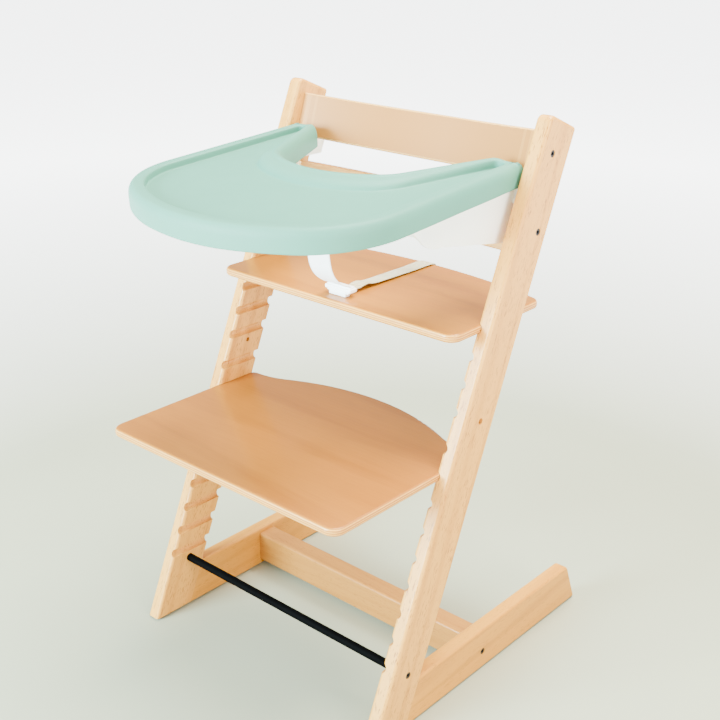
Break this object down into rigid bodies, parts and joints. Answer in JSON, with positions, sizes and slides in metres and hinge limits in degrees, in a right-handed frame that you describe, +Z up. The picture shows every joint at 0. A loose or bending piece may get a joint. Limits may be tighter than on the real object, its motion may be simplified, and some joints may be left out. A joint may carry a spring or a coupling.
{
  "type": "high chair",
  "caption": "Adjustable wooden high chair with leaning grooved sides, seat and foot plates, and a sliding baby tray under a soft silicone cover.",
  "frame": {"origin": "middle of the chair's footprint, on the floor", "axes": "+X across the chair's width, -Y towards its front where the tray is, +Z up"},
  "size_m": [0.46, 0.5725, 0.7819],
  "materials": {
    "beech": "clear satin lacquer",
    "beech_plywood": "clear satin lacquer",
    "black_steel": "satin black",
    "zinc_steel": "zinc plated",
    "black_plastic": "matte",
    "silicone": "matte, soft",
    "white_plastic": "satin",
    "cream_plastic": "satin, slightly translucent",
    "white_strap": "woven",
    "webbing": "woven"
  },
  "bodies": {
    "chair": {"left_stile": "beech", "right_stile": "beech", "left_floor_leg": "beech", "right_floor_leg": "beech", "leg_dowels": "beech", "cross_bar": "beech", "upper_backrest": "beech_plywood", "lower_backrest": "beech_plywood", "foot_rod": "black_steel", "backrest_bolts": "black_steel", "rod_bolts": "black_steel", "cross_bar_bolts": "black_steel", "backrest_nuts": "zinc_steel", "cross_bar_nuts": "zinc_steel", "rail_pins": "zinc_steel", "front_gliders": "black_plastic", "rear_gliders": "black_plastic", "left_side_panel": "cream_plastic", "right_side_panel": "cream_plastic", "front_rail": "cream_plastic", "crotch_strap": "white_strap"},
    "seat": {"seat_plate": "beech_plywood", "seat_webbing": "webbing", "strap_clip": "white_plastic"},
    "footplate": {"foot_plate": "beech_plywood"},
    "tray": {"tray_shell": "white_plastic"},
    "cover": {"silicone_tray_cover": "silicone"}
  },
  "joints": [
    {"name": "seat_slide", "type": "slide", "parent": "chair", "child": "seat", "axis": [0, 1, 0], "range_m": [-0.025, 0.025], "deforming": ["crotch_strap"]},
    {"name": "footplate_slide", "type": "slide", "parent": "chair", "child": "footplate", "axis": [0, 1, 0], "range_m": [-0.05, 0.05]},
    {"name": "tray_slide", "type": "slide", "parent": "chair", "child": "tray", "axis": [0, -0.9979, -0.0649], "range_m": [0, 0.12]},
    {"name": "cover_lift", "type": "slide", "parent": "tray", "child": "cover", "axis": [0, -0.0649, 0.9979], "range_m": [0, 0.06]}
  ]
}
